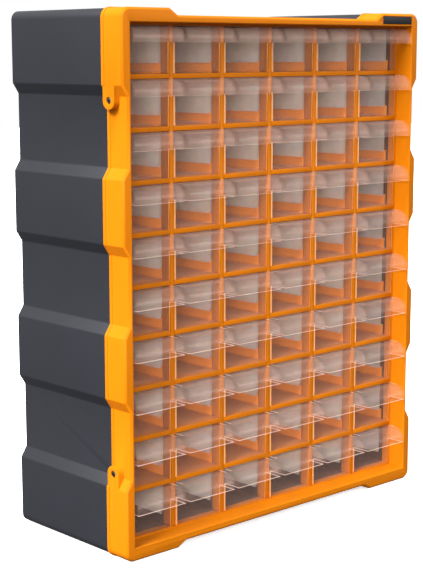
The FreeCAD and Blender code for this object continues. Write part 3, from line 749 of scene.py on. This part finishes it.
# %% One screw
def make_screw():
    """A closed screw: loops from the cross recess out over the head and down the shank."""
    bm = bmesh.new()
    outline = [
        (HEAD_RADIUS * CROWN_SHARE, HEAD_HEIGHT),
        (HEAD_RADIUS * SHOULDER_SHARE, HEAD_HEIGHT - SHOULDER_DROP),
        (HEAD_RADIUS, HEAD_HEIGHT - SIDE_DROP), (HEAD_RADIUS, 0),
        (SHANK_RADIUS, 0), (SHANK_RADIUS, -SHANK_LENGTH),
    ]
    loops = [
        loop_at(bm, cross_points(*CROSS_BOTTOM), HEAD_HEIGHT - CROSS_DEPTH),
        loop_at(bm, cross_points(*CROSS_TOP), HEAD_HEIGHT),
    ]
    loops += [loop_at(bm, circle_points(radius), height) for radius, height in outline]
    for first, second in zip(loops, loops[1:]):
        bmesh.ops.bridge_loops(bm, edges=first + second)
    for ending in (loops[0], loops[-1]):
        bmesh.ops.contextual_create(bm, geom=ending)
    bmesh.ops.recalc_face_normals(bm, faces=bm.faces)
    print("one screw has", len(bm.faces), "faces and", cubic_mm(bm), "cubic mm")
    return bm


# %% The four screws, two in each side of the frame
def place_screws(node):
    """Copies of the screw where the CAD node has its four, the heads facing outwards."""
    low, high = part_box(node)
    middle_y = (low.y + high.y) / 2
    screw_pattern = make_screw()
    bm = bmesh.new()
    for side in (-1, 1):
        turn = Matrix.Rotation(side * math.pi / 2, 4, "Y")
        seat = side * (high.x - HEAD_HEIGHT)
        for height in (low.z + HEAD_RADIUS, high.z - HEAD_RADIUS):
            add_copy(bm, screw_pattern, Matrix.Translation((seat, middle_y, height)) @ turn)
    screw_pattern.free()
    piece = finish_piece("frame_screw_heads", bm, "cabinet", "screw_steel", zinc_plated_steel)
    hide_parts(node)
    print(piece.name, "has", len(piece.data.polygons), "faces")


place_screws("frame_screws")

# %% [markdown]
# ## Light
#
# The picture has one strong soft light high on the left, which makes the
# frame's side glow. A weaker one stands on the left in front and reaches into
# the drawers, where it makes the frosted walls pale. A faint one on the right in
# front draws highlights along the hoods. Round them is a white room that is
# brighter above than below. The background itself is plain white, so the camera
# sees white where the room's light comes from a gradient.

# %% A white room, brighter overhead
OVERHEAD, UNDERFOOT = 1.3, 0.2
# The gradient starts a little below the horizon.
GRADIENT_FROM = -0.2

world = bpy.data.worlds.new("white_room")
bpy.context.scene.world = world
world.use_nodes = True
room = world.node_tree
room.nodes.clear()
upward = add_node(
    room, "ShaderNodeSeparateXYZ",
    inputs={"Vector": add_node(room, "ShaderNodeTexCoord").outputs["Generated"]},
).outputs["Z"]
brightness = add_node(
    room, "ShaderNodeMapRange",
    inputs={"Value": upward, "From Min": GRADIENT_FROM, "To Min": UNDERFOOT, "To Max": OVERHEAD},
).outputs["Result"]
white = srgb("#ffffff")
lighting = add_node(room, "ShaderNodeBackground", inputs={"Color": white, "Strength": brightness})
backdrop = add_node(room, "ShaderNodeBackground", inputs={"Color": white, "Strength": 1.0})
seen = add_node(room, "ShaderNodeLightPath").outputs["Is Camera Ray"]
either = add_node(room, "ShaderNodeMixShader", inputs={"Fac": seen})
room.links.new(lighting.outputs["Background"], either.inputs[1])
room.links.new(backdrop.outputs["Background"], either.inputs[2])
add_node(room, "ShaderNodeOutputWorld", inputs={"Surface": either.outputs["Shader"]})
print("room:", OVERHEAD, "overhead,", UNDERFOOT, "underfoot")


# %% Three soft lights
def aim(thing, target, roll=0.0):
    """Turn a light or a camera so that it looks at a point."""
    gaze = (Vector(target) - thing.location).to_track_quat("-Z", "Y")
    thing.rotation_euler = (gaze.to_matrix() @ Matrix.Rotation(roll, 3, "Z")).to_euler()


def soft_light(name, source, width, strength):
    """A distant round light: where it shines from, its width in degrees and its W per square metre."""
    lamp = bpy.data.lights.new(name, "SUN")
    lamp.angle = math.radians(width)
    lamp.energy = strength
    holder = bpy.data.objects.new(name, lamp)
    holder.location = source
    bpy.context.scene.collection.objects.link(holder)
    aim(holder, (0, 0, 0))
    print("light:", name, strength, "W per square metre")


soft_light("high_left_soft_box", source=(-1.44, -0.2, 1.36), width=25, strength=9.4)
soft_light("right_front_soft_box", source=(1.15, -1.25, 0.5), width=16, strength=0.9)
soft_light("left_front_soft_box", source=(-1.0, -1.05, 0.5), width=30, strength=1.8)

# %% [markdown]
# ## Floor, camera and colour
#
# The floor is a pale matt sheet. The camera's place, aim and lens come from
# matching the cabinet's edges with the photograph. Standard colour keeps the
# frame's orange as strong as it is, and lets its brightest side burn out
# towards yellow as it does in the picture.

# %% The floor's paper
FIBRE_WIDTH = 60 * MM
PAPER_GLOW = 0.6

paper, paper_tree = new_material("pale_paper_floor")
paper_place = add_node(paper_tree, "ShaderNodeTexCoord").outputs["Object"]
fibres = add_node(
    paper_tree, "ShaderNodeTexNoise",
    inputs={"Vector": paper_place, "Scale": 1 / FIBRE_WIDTH, "Detail": 2.0},
).outputs["Fac"]
paper_tint = add_node(
    paper_tree, "ShaderNodeMix", {"data_type": "RGBA"},
    {"Factor": fibres, "A": srgb("#f4f3f1"), "B": srgb("#f8f8f7")},
).outputs["Result"]
paper_shader = add_node(
    paper_tree, "ShaderNodeBsdfPrincipled",
    inputs={
        "Base Color": paper_tint, "Roughness": 0.8,
        "Emission Color": white, "Emission Strength": PAPER_GLOW,
    },
)
add_node(paper_tree, "ShaderNodeOutputMaterial", inputs={"Surface": paper_shader.outputs["BSDF"]})

# %% Pale floor
FLOOR_REACH = 6.0

floor_mesh = bpy.data.meshes.new("floor")
bm = bmesh.new()
bmesh.ops.create_grid(bm, x_segments=1, y_segments=1, size=FLOOR_REACH)
bm.to_mesh(floor_mesh)
bm.free()
floor_mesh.materials.append(paper)
floor_sheet = bpy.data.objects.new("floor", floor_mesh)
bpy.context.scene.collection.objects.link(floor_sheet)
# The cabinet stands before the white room, so the sheet sends no light up to it.
floor_sheet.visible_diffuse = False
floor_sheet.visible_glossy = False
print("floor:", FLOOR_REACH, "m each way")

# %% Camera at the photograph's place
CAMERA_PLACE = (-938.3 * MM, -996.2 * MM, 437.7 * MM)
LOOKED_AT = (-89.9 * MM, -78 * MM, 233.3 * MM)
CAMERA_ROLL = math.radians(-0.064)

eye = bpy.data.cameras.new("camera")
eye.lens = 90.03
eye.sensor_width = 36
eye.clip_end = 20
camera = bpy.data.objects.new("camera", eye)
camera.location = CAMERA_PLACE
bpy.context.scene.collection.objects.link(camera)
aim(camera, LOOKED_AT, roll=CAMERA_ROLL)
bpy.context.scene.camera = camera
print("camera:", round(eye.lens, 2), "mm lens")

# %% Colour, and light that goes on through many clear walls
CLEAR_WALLS_PASSED = 64

scene = bpy.context.scene
scene.view_settings.view_transform = "Standard"
scene.cycles.transparent_max_bounces = CLEAR_WALLS_PASSED
